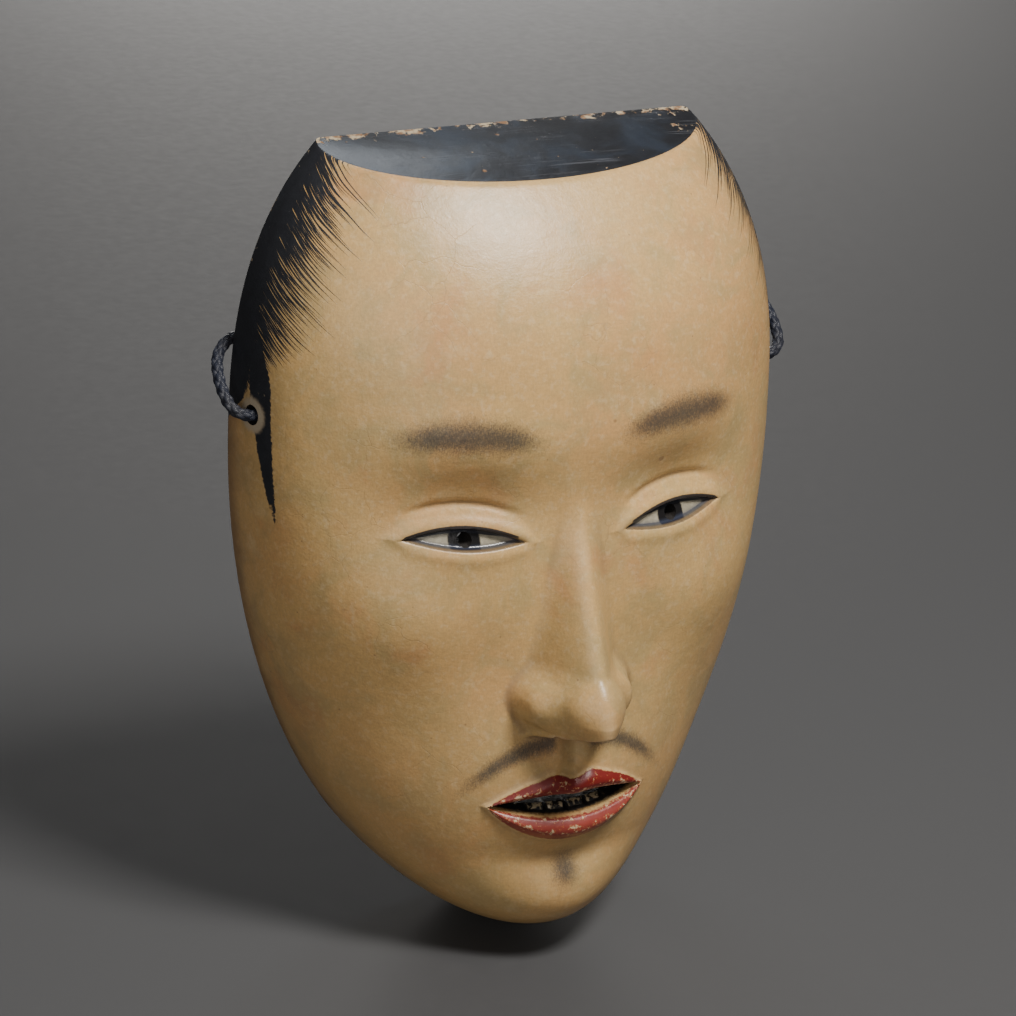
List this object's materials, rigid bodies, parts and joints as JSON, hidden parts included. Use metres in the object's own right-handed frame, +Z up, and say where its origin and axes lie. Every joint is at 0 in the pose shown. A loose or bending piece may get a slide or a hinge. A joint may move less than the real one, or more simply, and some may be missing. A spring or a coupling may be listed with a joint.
{
  "type": "noh mask",
  "caption": "Carved and painted theatre mask of a calm courtier, hollow behind, with inside pads and a braided tie cord hitched through a hole at each side.",
  "frame": {"origin": "midway between the two cord holes, on the flat plane of the back rim, where the wearer's head holds the mask", "axes": "+X to the wearer's left, -Y the way the face looks, +Y towards the wearer's head, +Z up; the plane y = 0 is the back rim"},
  "size_m": [0.153, 0.0758, 0.203],
  "materials": {
    "painted_cypress": "aged gofun paint over carved cypress, soft satin",
    "dark_silk": "tightly braided dark blue silk",
    "cotton": "unbleached cotton",
    "red_thread": "wound thread"
  },
  "bodies": {
    "mask": {"mask_body": "painted_cypress", "forehead_pad": "cotton", "right_cheek_pad": "cotton", "left_cheek_pad": "cotton", "right_rim_loop": "dark_silk", "right_hitch_knot": "dark_silk", "left_rim_loop": "dark_silk", "left_hitch_knot": "dark_silk"},
    "right_cord": {"right_cord_drop": "dark_silk", "right_cord_hank": "dark_silk", "right_hank_tie": "red_thread", "right_cord_tail": "dark_silk", "right_end_binding": "red_thread"},
    "left_cord": {"left_cord_drop": "dark_silk", "left_cord_hank": "dark_silk", "left_hank_tie": "red_thread", "left_cord_tail": "dark_silk", "left_end_binding": "red_thread"}
  },
  "joints": [
    {"name": "right_cord_swing", "type": "hinge", "parent": "mask", "child": "right_cord", "pos_m": [-0.055, -0.0125, 0], "axis": [1, 0, 0], "range_deg": [0, 90]},
    {"name": "left_cord_swing", "type": "hinge", "parent": "mask", "child": "left_cord", "pos_m": [0.055, -0.0125, 0], "axis": [1, 0, 0], "range_deg": [0, 90]}
  ]
}
